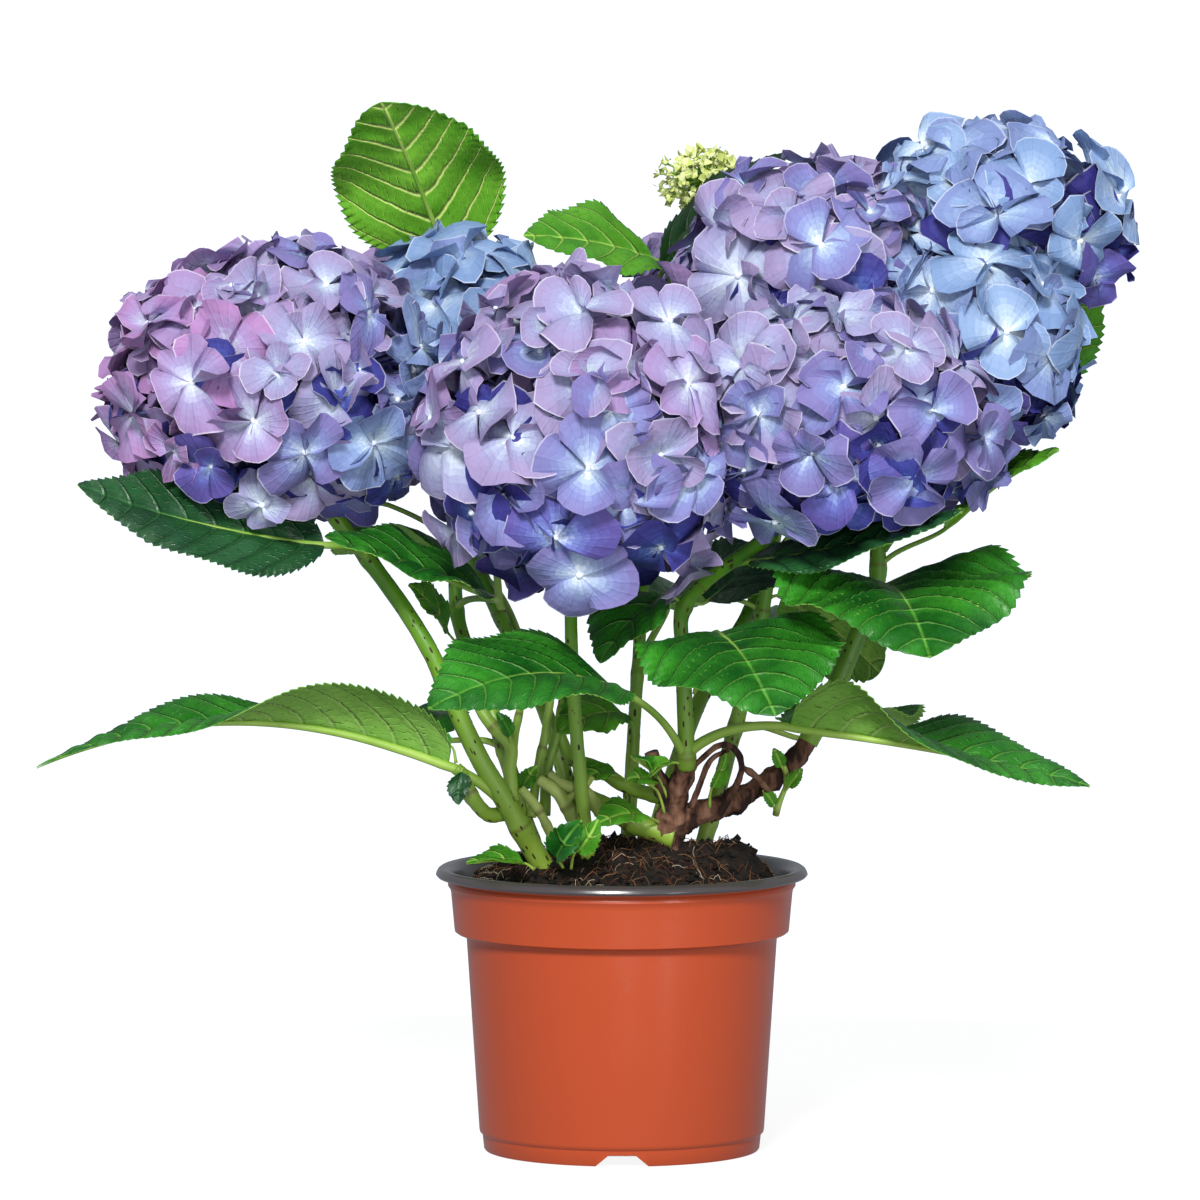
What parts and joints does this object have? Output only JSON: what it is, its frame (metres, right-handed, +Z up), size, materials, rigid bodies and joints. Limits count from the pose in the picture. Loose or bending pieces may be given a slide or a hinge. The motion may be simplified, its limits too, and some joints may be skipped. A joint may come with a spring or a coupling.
{
  "type": "potted hydrangea shrub",
  "caption": "Potted mophead hydrangea with rounded blue, lilac and mauve flower heads on green canes, large toothed leaves and old wood in a plain terracotta plastic pot.",
  "frame": {"origin": "middle of the pot's flat underside, on the surface that it stands on", "axes": "+Z up; -Y towards the viewer's side, with the lowest front flower head; +X to the right, with the highest flower heads"},
  "size_m": [0.4119, 0.2898, 0.3933],
  "materials": {
    "pot_terracotta": "satin moulded plastic, black inside",
    "compost": "damp fibrous peat compost",
    "old_wood": "rough flaking bark",
    "green_cane": "smooth green stem with dark specks and leaf scars",
    "leaf_green": "satin leaf with sunken veins, paler and matt below",
    "petal_lilac": "soft matt petal with a pale eye",
    "petal_mauve": "soft matt petal with a pale eye",
    "petal_blue": "soft matt petal with a pale eye",
    "bud_green": "matt young buds"
  },
  "bodies": {
    "root": {"pot": "pot_terracotta", "compost": "compost", "old_stump": "old_wood", "old_stub": "old_wood", "old_branch": "old_wood", "cane_left": "green_cane", "cane_left_inner": "green_cane", "cane_front": "green_cane", "cane_middle": "green_cane", "cane_right": "green_cane", "cane_right_front": "green_cane", "cane_back": "green_cane", "cane_back_left": "green_cane", "cane_back_right": "green_cane", "cane_bud": "green_cane", "bloom_left": "petal_mauve", "bloom_left_behind": "petal_blue", "bloom_front": "petal_lilac", "bloom_middle_back": "petal_lilac", "bloom_middle_front": "petal_lilac", "bloom_right_top": "petal_blue", "bloom_right_low": "petal_blue", "bloom_back_left": "petal_mauve", "bloom_back_right": "petal_lilac", "bud_head": "bud_green", "leaf_tall_left": "leaf_green", "leaf_bright_top": "leaf_green", "leaf_dark_top": "leaf_green", "leaf_far_left": "leaf_green", "leaf_left_front": "leaf_green", "leaf_front_left": "leaf_green", "leaf_long_left": "leaf_green", "leaf_front_middle": "leaf_green", "leaf_right": "leaf_green", "leaf_long_right": "leaf_green", "leaf_under_middle": "leaf_green", "leaf_inner_back": "leaf_green", "leaf_inner_left": "leaf_green", "leaf_inner_right": "leaf_green", "leaf_pale_right": "leaf_green", "leaf_far_right": "leaf_green", "leaf_right_upper": "leaf_green", "leaf_small_left": "leaf_green", "leaf_inner_low": "leaf_green", "leaf_basal_front": "leaf_green", "leaf_basal_arch": "leaf_green", "leaf_back_left_low": "leaf_green", "leaf_back_right_low": "leaf_green", "leaf_back_middle": "leaf_green", "leaf_back_left_high": "leaf_green", "leaf_back_right_high": "leaf_green", "leaf_side_right": "leaf_green", "leaf_side_left": "leaf_green"}
  },
  "joints": []
}
